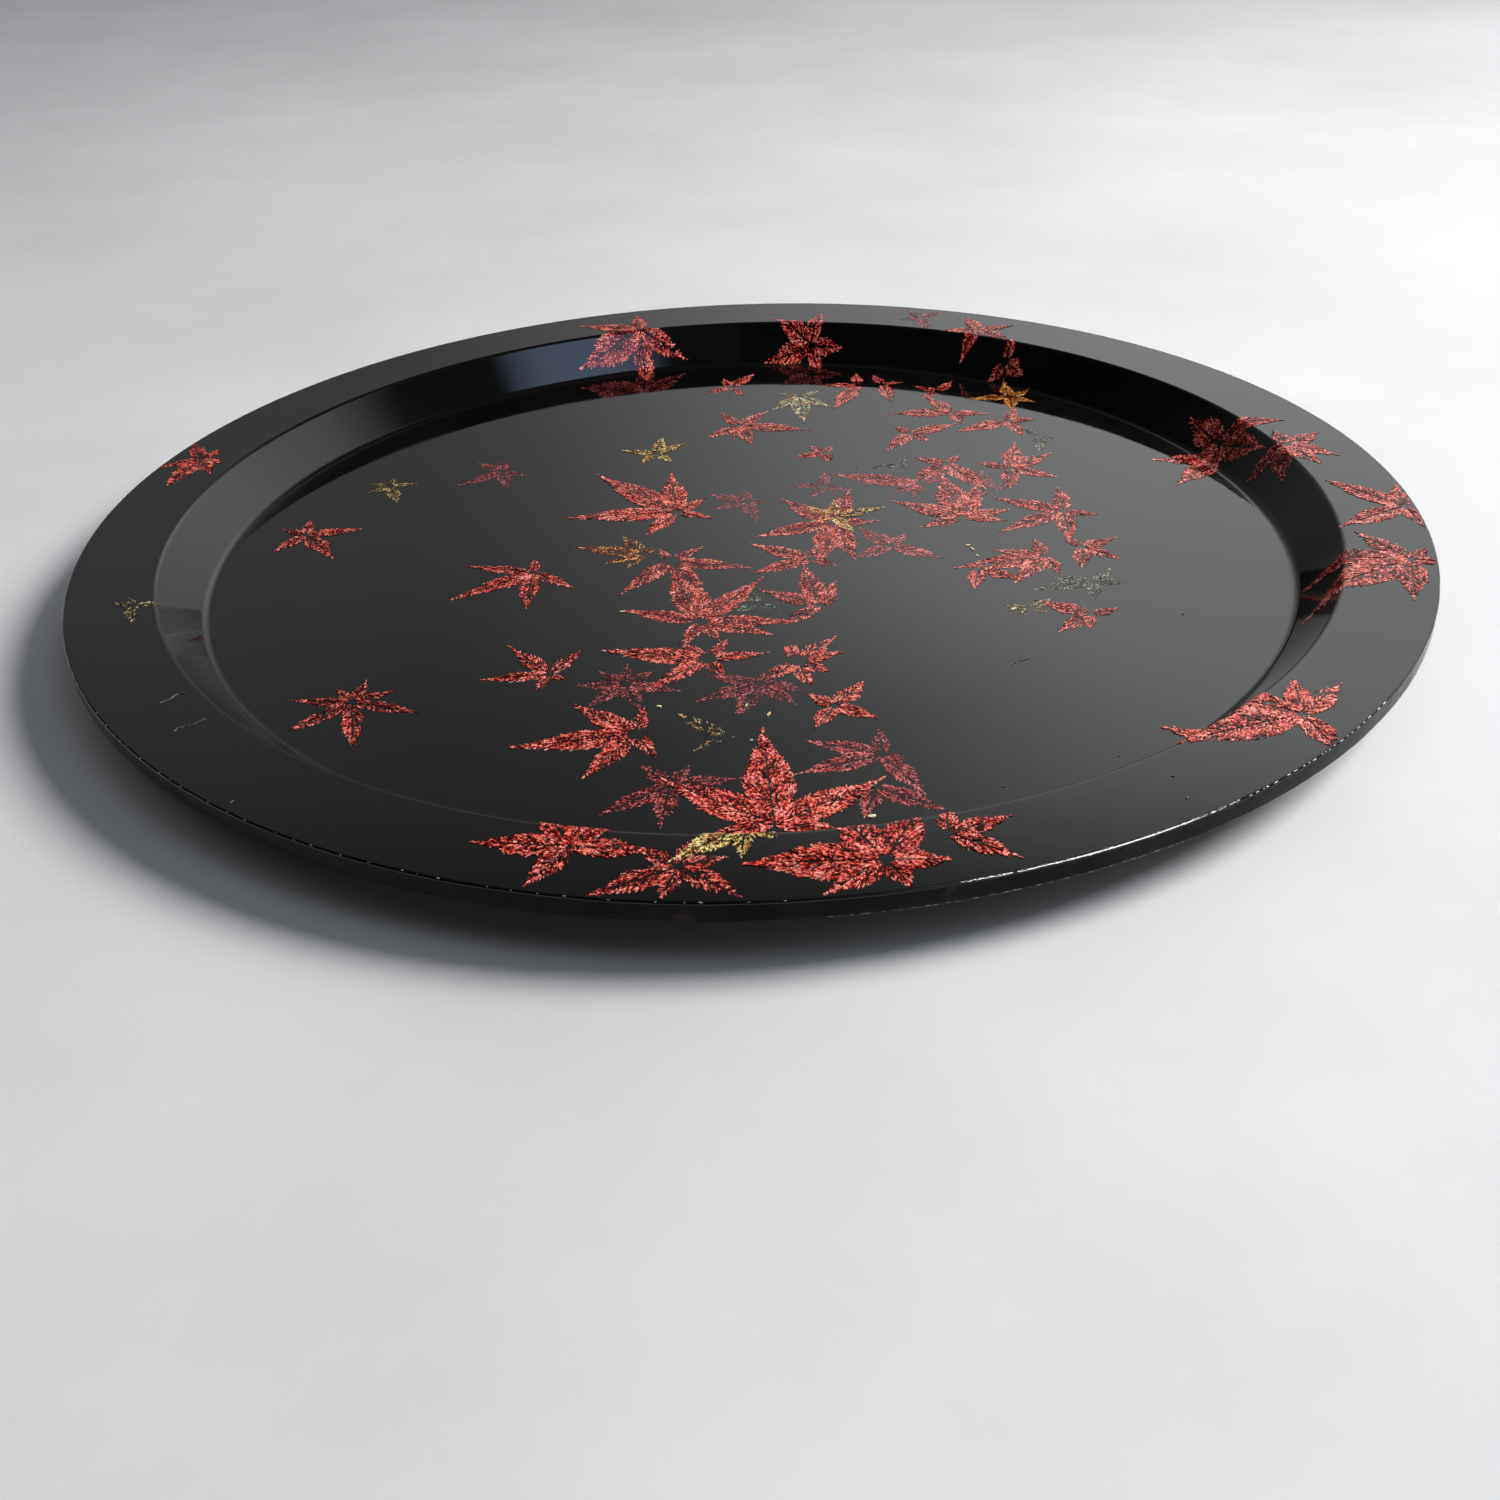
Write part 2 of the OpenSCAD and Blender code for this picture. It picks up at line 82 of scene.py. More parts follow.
# ---------------------------------------------------------------- leaves and inks
# Each leaf: CAD node, ink, stem point, share of the usual lobe breadth, and its lobes' tips, in
# the same places as in part.scad. The rows run from the first ink laid down to the last.
LEAVES = (
    ("leaves_dim_centre", "crimson", (0, 33), 1, ((-14, 41), (0, 43), (8, 32), (3, 16), (-12, 27))),
    ("leaves_dim_centre", "crimson", (27, 44), 1, ((14, 46), (28, 57), (22, 34), (36, 38))),
    ("leaf_dim_right_centre", "crimson", (84, 36), 1, ((74, 56), (83, 54), (95, 41), (74, 27))),
    ("leaf_dim_left", "crimson", (-88, 67), 1,
     ((-98, 76), (-102, 56), (-89, 78), (-79, 62), (-84, 51))),
    ("leaves_dim_front", "crimson", (-36, -90), 1,
     ((-50, -90), (-46, -102), (-31, -105), (-20, -95), (-28, -83), (-36, -79), (-44, -82))),
    ("leaves_dim_front", "crimson", (2, -92), 1,
     ((-16, -101), (-13, -87), (-5, -110), (12, -105), (15, -97), (7, -82))),
    ("leaf_dim_middle", "crimson", (46, -6), 1.2,
     ((37, 9), (34, -15), (53, -11), (62, -17), (52, 3))),
    ("leaf_dim_under_left", "crimson", (-22, -142), 1,
     ((-40, -155), (-24, -161), (-30, -132), (-17, -133), (-4, -140))),
    ("leaves_dim_under_right", "crimson", (33, -131), 1,
     ((13, -123), (10, -139), (42, -150), (33, -118), (39, -134))),
    ("leaves_dim_under_right", "crimson", (30, -146), 1.1, ((47, -158), (26, -160))),
    ("leaf_red_front_rim", "scarlet", (-18, -196), 1.2,
     ((-38, -206), (-22, -208), (-4, -208), (-7, -193), (-28, -188), (-14, -185))),
    ("leaf_dim_back_rim", "crimson", (75, 182), 1.2, ((66, 181), (71, 193), (83, 190), (76, 168))),
    ("leaf_dim_right", "crimson", (61, 43), 1, ((30, 54), (41, 47), (50, 36), (57, 32), (72, 52))),
    ("leaves_sage", "sage", (2, -44), 1, ((9, -48), (0, -35), (-5, -49))),
    ("leaves_sage", "sage", (106, -37), 1,
     ((87, -41), (94, -33), (113, -28), (116, -38), (104, -49))),
    ("leaves_sage", "sage", (109, 83), 1, ((105, 92), (107, 68), (114, 78))),
    ("leaves_sage", "sage", (55, 61), 1, ((44, 57), (58, 68), (60, 56))),
    ("leaves_olive", "olive", (-127, 57), 1,
     ((-134, 52), (-122, 42), (-127, 64), (-118, 59), (-134, 60))),
    ("leaves_olive", "olive", (-181, -58), 1, ((-187, -56), (-173, -57), (-178, -70), (-184, -53))),
    ("leaves_olive", "olive", (84, -53), 1, ((76, -50), (80, -58), (91, -47), (89, -56))),
    ("leaves_olive", "olive", (-8, -120), 1, ((-16, -126), (-4, -121), (-12, -112), (-22, -106))),
    ("leaf_amber_mid_left", "amber", (-34, -6), 1,
     ((-57, 1), (-42, 9), (-46, -12), (-39, -16), (-30, -1))),
    ("leaf_pale_back", "straw", (22, 133), 1,
     ((11, 119), (34, 120), (23, 105), (14, 137), (30, 138))),
    ("leaf_amber_back", "amber", (104, 124), 1.2,
     ((88, 124), (104, 139), (113, 118), (103, 110), (113, 131))),
    ("leaf_red_heart", "scarlet", (28, 13), 1.1,
     ((12, 34), (2, 4), (23, -17), (34, -16), (44, 13), (36, 40))),
    ("leaf_red_mid", "scarlet", (20, -14), 1, ((0, -1), (0, -23), (28, -20), (25, 0))),
    ("leaf_red_mid_right", "scarlet", (21, -46), 1,
     ((17, -17), (27, -30), (2, -34), (9, -59), (27, -42))),
    ("leaf_red_mid_left", "scarlet", (-25, -12), 1,
     ((-15, -2), (1, -19), (-40, -34), (-14, -37), (-29, -3))),
    ("leaf_red_large", "scarlet", (-15, -54), 1,
     ((-25, -18), (-39, -45), (-15, -29), (4, -26), (13, -56), (7, -64), (-9, -67), (-20, -69))),
    ("leaf_red_right_upper", "scarlet", (72, 60), 1, ((58, 45), (61, 67), (77, 67), (83, 36))),
    ("leaf_red_right_centre", "scarlet", (72, 14), 1,
     ((69, 51), (50, 29), (57, 7), (86, 10), (89, 19), (80, 40))),
    ("leaf_red_right_outer", "scarlet", (94, 54), 1,
     ((99, 77), (111, 67), (109, 44), (91, 36), (83, 60))),
    ("leaf_red_right_edge", "scarlet", (106, 16), 1,
     ((84, 29), (82, 1), (108, 36), (104, -8), (117, 12))),
    ("leaves_red_right_lower", "scarlet", (94, -18), 1,
     ((65, -24), (79, -12), (93, -5), (82, -36), (97, -31))),
    ("leaves_red_right_lower", "scarlet", (107, -12), 1,
     ((104, -28), (119, -6), (118, -22), (103, -4))),
    ("leaves_red_right_lower", "scarlet", (72, -25), 1, ((69, -39), (85, -34))),
    ("leaves_red_right_lower", "scarlet", (101, -58), 1.1,
     ((87, -48), (90, -68), (110, -55), (99, -67))),
    ("leaf_red_back_left", "scarlet", (-2, 104), 1,
     ((-9, 118), (9, 118), (-14, 92), (25, 97), (3, 84), (-4, 91))),
    ("leaf_red_back_small", "scarlet", (29, 74), 1.2, ((18, 71), (24, 81), (32, 80), (30, 65))),
    ("leaves_red_upper_right", "scarlet", (62, 90), 1, ((52, 74), (57, 98), (80, 98), (68, 81))),
    ("leaves_red_upper_right", "scarlet", (80, 110), 1,
     ((56, 111), (72, 128), (93, 107), (82, 98))),
    ("leaves_red_upper_right", "scarlet", (100, 99), 1,
     ((79, 90), (103, 84), (110, 100), (104, 112))),
    ("leaves_red_back_floor", "scarlet", (-5, 146), 1, ((-8, 156), (5, 161), (0, 136), (-15, 140))),
    ("leaves_red_back_floor", "scarlet", (46, 143), 1, ((35, 118), (31, 145), (46, 157))),
    ("leaves_red_back_floor", "scarlet", (56, 143), 1, ((58, 123), (64, 145), (53, 154))),
    ("leaves_red_back_floor", "scarlet", (77, 133), 1, ((70, 126), (84, 144), (68, 140))),
    ("leaves_red_far_right", "scarlet", (97, 164), 1.2,
     ((82, 165), (94, 181), (111, 168), (107, 151), (88, 152))),
    ("leaves_red_far_right", "scarlet", (105, 144), 1.3, ((98, 141), (109, 151), (111, 136))),
    ("leaf_red_back_wall", "scarlet", (29, 175), 1.2,
     ((14, 188), (34, 192), (42, 172), (9, 172), (32, 163))),
    ("leaf_red_far_left_rim", "scarlet", (-42, 180), 1.2,
     ((-67, 187), (-44, 198), (-23, 173), (-67, 162), (-39, 157))),
    ("leaf_red_right_wall", "scarlet", (168, 55), 1.2,
     ((144, 57), (148, 34), (162, 76), (190, 55), (178, 37))),
    ("leaf_red_right_rim", "scarlet", (184, 33), 1.3,
     ((198, 43), (198, 22), (183, 46), (190, 15), (170, 29), (178, 16))),
    ("leaf_red_right_rim_edge", "scarlet", (205, -20), 1.1,
     ((187, 3), (208, -3), (181, -33), (206, -36), (196, -14))),
    ("leaf_red_right_rim_lower", "scarlet", (194, -57), 1.2,
     ((186, -82), (204, -60), (184, -37), (163, -52), (158, -76), (201, -50))),
    ("leaf_red_left", "scarlet", (-112, -95), 1,
     ((-129, -93), (-128, -111), (-107, -120), (-92, -102), (-101, -89), (-110, -83), (-118, -87))),
    ("leaf_gold_centre", "gold", (29, 18), 1, ((30, 31), (46, 24), (20, 27), (35, 5), (21, 14))),
    ("leaf_gold_back_left", "gold", (-33, 79), 1,
     ((-46, 83), (-31, 94), (-22, 88), (-38, 70), (-26, 70))),
    ("leaf_bright_rim_left", "vermilion", (-191, 54), 1.1,
     ((-198, 69), (-197, 31), (-186, 62), (-182, 49), (-184, 40), (-203, 48))),
    ("leaf_bright_far_left", "vermilion", (-149, 18), 1.1,
     ((-131, 21), (-136, -1), (-157, 5), (-158, 23), (-150, 30))),
    ("leaf_bright_upper_left", "vermilion", (-24, 26), 1.1,
     ((-62, 24), (-53, 60), (-27, 60), (-34, 8), (-12, 20), (-14, 37))),
    ("leaf_bright_left", "vermilion", (-69, -17), 1,
     ((-90, -11), (-93, -34), (-69, -42), (-55, -29), (-69, -7), (-76, -27))),
    ("leaf_bright_mid_left", "vermilion", (-58, -83), 1,
     ((-71, -66), (-50, -70), (-77, -85), (-61, -92), (-53, -87))),
    ("leaf_bright_centre", "vermilion", (-13, -77), 1.1,
     ((-44, -70), (-30, -78), (-29, -93), (-8, -89), (4, -75), (-7, -66), (-21, -67))),
    ("leaf_bright_broken", "vermilion", (13, -80), 0.9,
     ((4, -91), (16, -96), (22, -88), (26, -76), (25, -66), (10, -68))),
    ("leaf_bright_lower_left", "vermilion", (-32, -117), 1.1,
     ((-66, -122), (-45, -138), (-26, -129), (-28, -116), (-30, -103), (-44, -110), (-50, -100))),
    ("leaf_bright_lower_right", "vermilion", (22, -106), 1,
     ((31, -93), (33, -113), (15, -99), (16, -117))),
    ("leaf_bright_front", "vermilion", (4, -161), 1.35,
     ((2, -116), (-25, -139), (33, -142), (-14, -166), (22, -165))),
    ("leaf_gold_front_rim", "gold", (-3, -181), 1.2,
     ((-20, -194), (-4, -194), (5, -187), (-18, -172), (6, -170))),
    ("leaf_bright_rim_front_left", "vermilion", (-43, -187), 1.2,
     ((-66, -184), (-52, -202), (-24, -190), (-51, -168), (-32, -170))),
    ("leaf_bright_rim_front", "vermilion", (28, -196), 1.2,
     ((-4, -196), (14, -208), (33, -207), (43, -197), (38, -176), (18, -176))),
    ("leaf_bright_rim_front_right", "vermilion", (43, -187), 1.2,
     ((58, -197), (58, -181), (44, -176))),
    ("leaf_bright_rim_right", "vermilion", (137, -141), 1.3,
     ((103, -152), (141, -160), (151, -127), (140, -123), (107, -122))),
)

# Ink colours, linear RGB: the dark of a thin stroke, two mid tones, and a lit ridge.
INKS = {
    "crimson": (
        (0.08, 0.004, 0.007), (0.20, 0.012, 0.020), (0.38, 0.036, 0.046), (0.82, 0.24, 0.24)),
    "scarlet": (
        (0.10, 0.003, 0.004), (0.36, 0.013, 0.010), (0.76, 0.032, 0.020), (1.0, 0.41, 0.34)),
    "vermilion": (
        (0.10, 0.003, 0.003), (0.40, 0.012, 0.008), (0.86, 0.028, 0.014), (1.0, 0.42, 0.34)),
    "gold": ((0.10, 0.030, 0.008), (0.30, 0.16, 0.018), (0.66, 0.46, 0.07), (0.98, 0.88, 0.42)),
    "amber": ((0.12, 0.014, 0.006), (0.34, 0.05, 0.014), (0.62, 0.19, 0.035), (0.95, 0.60, 0.16)),
    "olive": ((0.05, 0.028, 0.010), (0.12, 0.09, 0.026), (0.26, 0.22, 0.07), (0.68, 0.58, 0.26)),
    "sage": ((0.025, 0.034, 0.026), (0.06, 0.08, 0.055), (0.15, 0.19, 0.135), (0.44, 0.50, 0.38)),
    "straw": ((0.06, 0.045, 0.020), (0.18, 0.18, 0.07), (0.42, 0.42, 0.18), (0.84, 0.84, 0.52)),
}
BARE = (0.0015, 0.0013, 0.0013)  # lacquer that shows through a crack
INK_STOPS = (0.16, 0.29, 0.47, 0.63, 0.98)  # tones of the bare lacquer and the four colours
DEEPER_INK = (1.0, 0.68, 0.58)  # what multiplies the ink where it is more saturated


class Style:
    """How a leaf is inked.

    keep is the share of crumbs printed, tone their mean tone, and edge the extra tone at a lobe's
    margin. In mm, hollow is the bare stretch at the stem, step the spacing of the side veins, and
    crumb the usual length of a crumb. fill is the inked share of step, and broad scales the lobes'
    breadth.
    """

    def __init__(self, keep, tone, edge, hollow=1.3, step=1.9, fill=0.92, crumb=1.5, broad=0.95):
        self.keep, self.tone, self.edge = keep, tone, edge
        self.hollow, self.step, self.crumb = hollow, step, crumb
        self.fill, self.broad = fill, broad


# The usual style of each ink, then the leaves that differ, by node or by the name of the print.
INK_STYLES = {
    "crimson": Style(0.76, 0.42, 0.15, step=1.7, fill=0.84, crumb=1.3, broad=1.05),
    "scarlet": Style(0.84, 0.48, 0.24, step=1.8, crumb=1.9, broad=1.0),
    "vermilion": Style(0.90, 0.50, 0.22, hollow=1.6, crumb=2.2, broad=0.9),
    "gold": Style(0.76, 0.52, 0.20, fill=0.82, crumb=2.0),
    "amber": Style(0.80, 0.48, 0.20, fill=0.85),
    "olive": Style(0.70, 0.48, 0.25, fill=0.8),
    "sage": Style(0.70, 0.46, 0.20, fill=0.8, broad=1.1),
    "straw": Style(0.78, 0.52, 0.20, fill=0.82),
}
DENSE = Style(0.88, 0.55, 0.25, step=1.8, fill=0.88, crumb=2.5, broad=1.15)
LIVELY = Style(0.80, 0.58, 0.28, step=1.7, fill=0.85, crumb=1.8, broad=1.05)
LEAF_STYLES = {
    "leaf_bright_front": Style(
        0.95, 0.52, 0.15, hollow=0.8, step=2.2, fill=0.96, crumb=1.7, broad=0.84),
    "leaf_bright_broken": Style(0.42, 0.68, 0.30, hollow=3.0, step=1.6, crumb=1.3, broad=1.3),
    "leaf_bright_rim_front_left": Style(
        0.95, 0.50, 0.15, hollow=0.8, step=1.8, crumb=2.6, broad=1.05),
    "leaf_bright_rim_front": Style(0.92, 0.50, 0.15, hollow=1.8, fill=0.96, crumb=2.2, broad=1.32),
    "leaf_bright_rim_front_right": Style(0.80, 0.50, 0.20, crumb=1.8, broad=1.0),
    "leaf_bright_lower_right": Style(0.86, 0.64, 0.20, crumb=2.8, broad=1.3),
    "leaf_bright_rim_right": Style(0.76, 0.60, 0.20, crumb=1.3, broad=1.0),
    "leaf_red_front_rim": Style(0.80, 0.46, 0.35, step=1.8, crumb=2.2, broad=1.0),
    "leaves_dim_under_right": LIVELY,
    "leaf_dim_right": LIVELY,
    "leaf_dim_middle": LIVELY,
    "leaf_red_right_centre": DENSE,
    "leaf_red_right_outer": DENSE,
    "leaves_red_right_lower": DENSE,
    "leaf_red_right_upper": DENSE,
    "leaves_red_upper_right": DENSE,
    "leaf_red_left": Style(0.74, 0.32, 0.40, fill=0.8, crumb=1.3, broad=0.82),
    "leaf_bright_far_left": Style(0.86, 0.40, 0.25, crumb=1.6, broad=0.85),
    "leaf_bright_rim_left": Style(0.88, 0.34, 0.25, crumb=1.6, broad=1.0),
    "leaf_bright_left": Style(0.84, 0.44, 0.32, crumb=1.8, broad=0.82),
    "leaf_bright_centre": Style(0.88, 0.55, 0.28, hollow=2.8, fill=0.88, crumb=3.2, broad=0.9),
    "leaf_bright_lower_left": Style(0.88, 0.52, 0.28, hollow=2.6, fill=0.88, crumb=3.0, broad=0.9),
    "leaf_bright_mid_left": Style(0.90, 0.54, 0.22, fill=0.88, crumb=3.2, broad=0.9),
    "leaf_bright_upper_left": Style(0.76, 0.54, 0.25, hollow=2.2, fill=0.88, crumb=2.6, broad=0.9),
    "leaf_red_mid_left": Style(0.78, 0.46, 0.30, hollow=3.0, crumb=1.9, broad=0.95),
    "leaf_red_large": Style(0.80, 0.49, 0.28, hollow=2.4, step=1.8, crumb=1.6),
    "leaf_amber_mid_left": Style(0.62, 0.42, 0.20, hollow=1.5, fill=0.8),
    "leaves_olive_print_4": Style(0.40, 0.55, 0.10, fill=0.8, broad=0.8),
}


# ---------------------------------------------------------------- the tray's surfaces
UP, DOWN = math.pi / 2, -math.pi / 2  # angles on a bend
TINY = 1e-6
FLOOR_RINGS = (0.0, 60.0, 120.0)  # rings of points on the flat floor
BEND_STEPS, UNDER_RIM_STEPS, ARRIS_STEPS = 14, 12, 8


def arc(centre, radius, start, end, steps):
    """Points on an arc, angles in radians from +r towards +z."""
    points = []
    for i in range(steps + 1):
        angle = start + (end - start) * i / steps
        points.append((centre[0] + radius * math.cos(angle), centre[1] + radius * math.sin(angle)))
    return points


def top_face(depth):
    """Profile of the top face lowered by depth, from the centre out to the edge band."""
    points = [(r, FLOOR_Z - depth) for r in FLOOR_RINGS]
    points += arc(CORNER_C, CORNER_R + depth, DOWN, DOWN + WALL_ANGLE, BEND_STEPS)
    points += arc(CREASE_C, CREASE_R - depth, UP + WALL_ANGLE, UP, BEND_STEPS)
    return points + [(BAND_X, RIM_Z - depth)]


def under_face(depth):
    """Profile of the underside raised by depth, from the base's corner out to the edge band."""
    points = arc(BASE_C, BASE_CORNER_R - depth, DOWN, DOWN + WALL_ANGLE, BEND_STEPS)
    points += arc(UNDER_RIM_C, UNDER_RIM_R + depth, UP + WALL_ANGLE, UP, UNDER_RIM_STEPS)
    return points + [(BAND_X, RIM_Z - TRAY_T + depth)]


def surface(x, y, lift):
    """The point of the top face over (x, y), lifted off it along its normal."""
    r = math.hypot(x, y)
    sin_a, cos_a = math.sin(WALL_ANGLE), math.cos(WALL_ANGLE)
    if r <= CORNER_C[0]:
        z, lean = FLOOR_Z, 0.0
    elif r <= CORNER_C[0] + CORNER_R * sin_a:
        lean = math.asin((r - CORNER_C[0]) / CORNER_R)
        z = CORNER_C[1] - CORNER_R * math.cos(lean)
    elif r < CREASE_C[0] - CREASE_R * sin_a:
        lean = WALL_ANGLE
        z = FLOOR_Z + (r - CORNER_X) * sin_a / cos_a
    elif r < CREASE_C[0]:
        lean = math.asin((CREASE_C[0] - r) / CREASE_R)
        z = CREASE_C[1] + CREASE_R * math.cos(lean)
    else:
        z, lean = RIM_Z, 0.0
    inward = lift * math.sin(lean) / max(r, TINY)
    return (x - x * inward, y - y * inward, z + lift * math.cos(lean))


def new_piece(name, vertices, faces, material, nodes, sharp=35.0):
    """A mesh object from points in mm, riding on the tray and standing for CAD nodes.

    Faces that meet at more than sharp degrees keep a hard edge.
    """
    mesh = bpy.data.meshes.new(name)
    mesh.from_pydata([(x * MM, y * MM, z * MM) for x, y, z in vertices], [], faces)
    mesh.validate()
    mesh.materials.append(material)
    mesh.shade_smooth()
    mesh.set_sharp_from_angle(angle=math.radians(sharp))
    piece = bpy.data.objects.new(name, mesh)
    bpy.context.scene.collection.objects.link(piece)
    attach(piece, "root")
    if nodes:
        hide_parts(*nodes)
    return piece


def set_tones(piece, tones):
    """Gives each vertex of a printed piece the tone that the ink's colour ramp reads."""
    attribute = piece.data.attributes.new("tone", "FLOAT", "POINT")
    attribute.data.foreach_set("value", tones)


def revolve(profile, segments, wobble=None):
    """Vertices and faces of a closed profile turned round the Z axis.

    wobble(angle, r, z) gives how far a point moves outwards.
    """
    vertices, rings = [], []
    for r, z in profile:
        if r < TINY:
            rings.append([len(vertices)] * segments)
            vertices.append((0.0, 0.0, z))
            continue
        rings.append(list(range(len(vertices), len(vertices) + segments)))
        for s in range(segments):
            angle = 2 * math.pi * s / segments
            reach = r + wobble(angle, r, z) if wobble else r
            vertices.append((reach * math.cos(angle), reach * math.sin(angle), z))
    faces = []
    for ring, following in zip(rings, rings[1:] + rings[:1]):
        for s in range(segments):
            t = (s + 1) % segments
            corners = (ring[s], ring[t], following[t], following[s])
            unique = tuple(dict.fromkeys(corners))
            if len(unique) > 2:
                faces.append(unique[::-1])
    return vertices, faces


# ---------------------------------------------------------------- materials
class Graph:
    """A node tree, with short ways to add nodes; each gives the socket of its result."""

    def __init__(self, tree):
        self.nodes, self.links = tree.nodes, tree.links

    def add(self, kind, **values):
        """A new node, with some of its properties set."""
        node = self.nodes.new(kind)
        for key, value in values.items():
            setattr(node, key, value)
        return node

    def calc(self, operation, *terms, **values):
        """A math node on sockets and plain numbers."""
        node = self.add("ShaderNodeMath", operation=operation, **values)
        for socket, term in zip(node.inputs, terms):
            if isinstance(term, (int, float)):
                socket.default_value = term
            else:
                self.links.new(term, socket)
        return node.outputs[0]

    def spread(self, source, span, new_span, **values):
        """Maps the span of values (low, high) to a new span, and stops at its ends."""
        node = self.add("ShaderNodeMapRange", **values)
        sockets = ("From Min", "From Max", "To Min", "To Max")
        for socket, value in zip(sockets, (*span, *new_span)):
            node.inputs[socket].default_value = value
        self.links.new(source, node.inputs["Value"])
        return node.outputs["Result"]


class Material(Graph):
    """A material's node tree. The settings go to its shader's own sockets."""

    def __init__(self, name, **settings):
        self.material = bpy.data.materials.new(name)
        self.material.use_nodes = True
        super().__init__(self.material.node_tree)
        self.shader = self.nodes["Principled BSDF"]
        for socket, value in settings.items():
            self.shader.inputs[socket].default_value = value

    def drive(self, socket, source):
        """Lets a result set one of the shader's sockets."""
        self.links.new(source, self.shader.inputs[socket])

    def noise(self, scale, detail=4.0, roughness=0.55):
        """Noise over the object's own coordinates, scale in waves per metre."""
        coords = self.add("ShaderNodeTexCoord")
        node = self.add("ShaderNodeTexNoise")
        node.inputs["Scale"].default_value = scale
        node.inputs["Detail"].default_value = detail
        node.inputs["Roughness"].default_value = roughness
        self.links.new(coords.outputs["Object"], node.inputs["Vector"])
        return node.outputs["Fac"]

    def ramp(self, source, stops):
        """A colour ramp over stops of (position, colour)."""
        node = self.add("ShaderNodeValToRGB")
        elements = node.color_ramp.elements
        while len(elements) < len(stops):
            elements.new(0.5)
        for element, (position, colour) in zip(elements, stops):
            element.position = position
            element.color = (*colour, 1.0)
        self.links.new(source, node.inputs["Fac"])
        return node.outputs["Color"]

    def paint(self, source, stops):
        """Colours the surface by a ramp."""
        self.drive("Base Color", self.ramp(source, stops))

    def bump(self, source, strength, distance):
        """Raises the surface by up to a distance in metres."""
        node = self.add("ShaderNodeBump")
        node.inputs["Strength"].default_value = strength
        node.inputs["Distance"].default_value = distance
        self.links.new(source, node.inputs["Height"])
        self.drive("Normal", node.outputs["Normal"])


def grey(value):
    """A grey colour."""
    return (value, value, value)


def lacquer_material(name, smooth, worn, haze):
    """Black lacquer: roughness from smooth to worn, with faint haze in its colour."""
    g = Material(name, IOR=1.5)
    smudge = g.noise(scale=18.0, detail=3.0)
    g.drive("Roughness", g.spread(smudge, (0.35, 0.75), (smooth, worn)))
    g.paint(smudge, ((0.3, (0.0012, 0.0012, 0.0014)), (0.8, grey(haze))))
    g.bump(g.noise(scale=60.0, detail=2.0), strength=0.04, distance=0.0006)
    return g.material


def edge_material():
    """The outer edge: thicker, pitted lacquer, rubbed brown-black where hands hold it."""
    g = Material("edge_lacquer", IOR=1.16)
    rub = g.noise(scale=90.0, detail=5.0, roughness=0.6)
    g.drive("Roughness", g.spread(rub, (0.35, 0.7), (0.10, 0.30)))
    black, brown, bare = (0.003, 0.0027, 0.0025), (0.011, 0.009, 0.008), (0.04, 0.028, 0.022)
    g.paint(rub, ((0.35, black), (0.62, brown), (0.8, bare)))
    g.bump(g.noise(scale=900.0, detail=3.0), strength=0.25, distance=0.0002)
    return g.material


def board_material():
    """Pressed wood fibre."""
    g = Material("pressed_board", Roughness=0.9)
    fibre = g.noise(scale=400.0, detail=8.0, roughness=0.7)
    gap, wood, strand = (0.09, 0.05, 0.026), (0.20, 0.12, 0.06), (0.34, 0.23, 0.13)
    g.paint(fibre, ((0.3, gap), (0.55, wood), (0.8, strand)))
    g.bump(fibre, strength=0.4, distance=0.0003)
    return g.material


def wear_and_highlight_material():
    """Pale slivers on the arrises: spots rubbed or chipped through to the pale board, and painted
    highlight where the arris catches light.
    """
    g = Material("worn_through_and_highlight", Roughness=0.45)
    dirt_and_sheen = g.noise(scale=1100.0, detail=3.0, roughness=0.6)
    # The pale colours paint the arris's highlight as well as the bare board.
    grime, rubbed, clean_and_highlight = (0.20, 0.17, 0.16), (0.66, 0.61, 0.58), (0.95, 0.93, 0.90)
    g.paint(dirt_and_sheen, ((0.32, grime), (0.44, rubbed), (0.56, clean_and_highlight)))
    return g.material


def scratch_material():
    """Dull grey of dust and of the bruised gloss inside a scratch."""
    g = Material("dust_and_scratches", Roughness=0.6)
    g.paint(g.noise(scale=700.0, detail=2.0), ((0.35, grey(0.06)), (0.65, (0.22, 0.22, 0.225))))
    return g.material


def ink_material(ink):
    """Printed ink under the gloss: a tone per stroke, crackled and mottled down to bare lacquer."""
    g = Material("ink_" + ink, IOR=1.43, Roughness=0.08)
    tone = g.add("ShaderNodeAttribute", attribute_name="tone").outputs["Fac"]
    grain = g.noise(scale=1300.0, detail=3.0, roughness=0.7)
    crackle = g.spread(grain, (0.38, 0.62), (-0.55, 0.55))
    total = g.calc("ADD", tone, crackle, use_clamp=True)
    colour = g.ramp(total, tuple(zip(INK_STOPS, (BARE, *INKS[ink]))))
    patches = g.spread(g.noise(scale=190.0, detail=2.0), (0.44, 0.58), (0.0, 1.0))
    deeper = g.add("ShaderNodeMix", data_type="RGBA", blend_type="MULTIPLY")
    g.links.new(patches, deeper.inputs["Factor"])
    g.links.new(colour, deeper.inputs["A"])
    deeper.inputs["B"].default_value = (*DEEPER_INK, 1.0)
    g.drive("Base Color", deeper.outputs["Result"])
    return g.material


def floor_material():
    """A plain pale floor, a little uneven in tone."""
    g = Material("pale_floor", Roughness=0.75)
    patch = g.noise(scale=5.0, detail=6.0, roughness=0.6)
    g.paint(patch, ((0.3, grey(0.60)), (0.7, grey(0.70))))
    return g.material


black = lacquer_material("black_lacquer", 0.03, 0.07, 0.003)
arris_black = lacquer_material("arris_lacquer", 0.07, 0.16, 0.004)
under_black = lacquer_material("under_lacquer", 0.16, 0.30, 0.010)

